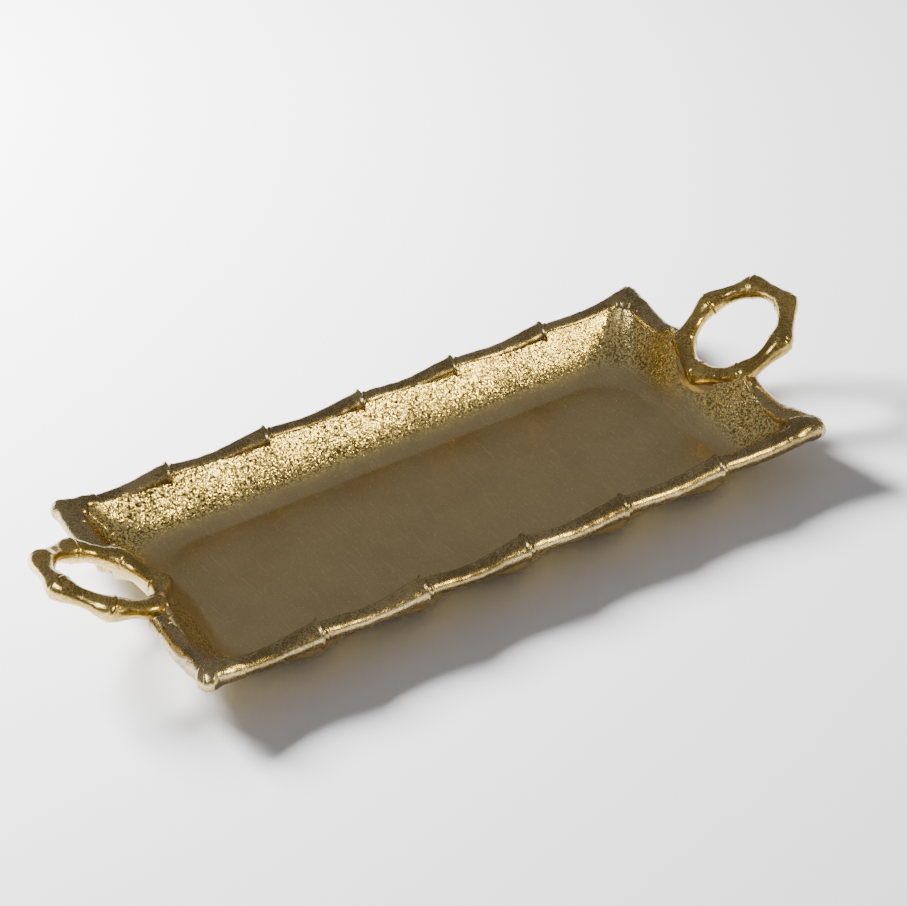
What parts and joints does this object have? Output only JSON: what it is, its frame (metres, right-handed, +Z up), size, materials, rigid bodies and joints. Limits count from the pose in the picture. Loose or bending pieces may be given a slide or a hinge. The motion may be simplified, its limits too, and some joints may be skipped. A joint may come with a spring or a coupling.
{
  "type": "serving tray",
  "caption": "Rectangular cast brass serving tray: shallow flaring dish, bamboo-style cane rim with horned corners, and a tilted bamboo ring handle at each end.",
  "frame": {"origin": "middle of the flat underside, on the surface that the tray stands on", "axes": "+X along the tray towards the right-hand handle, +Y across it towards the far side rail, +Z up"},
  "size_m": [0.6074, 0.26, 0.0816],
  "materials": {
    "dish_metal": "satin cast, fine sand grain on the walls",
    "cane_metal": "cast, half polished",
    "ring_metal": "cast, half polished"
  },
  "bodies": {
    "root": {"dish_floor": "dish_metal", "dish_wall": "dish_metal", "side_cane_near": "cane_metal", "side_cane_far": "cane_metal", "end_cane_left_near": "cane_metal", "end_cane_left_far": "cane_metal", "end_cane_right_near": "cane_metal", "end_cane_right_far": "cane_metal", "corner_left_near": "cane_metal", "corner_left_far": "cane_metal", "corner_right_near": "cane_metal", "corner_right_far": "cane_metal", "collar_left_near": "cane_metal", "collar_left_far": "cane_metal", "collar_right_near": "cane_metal", "collar_right_far": "cane_metal", "ring_handle_left": "ring_metal", "ring_handle_right": "ring_metal"}
  },
  "joints": []
}
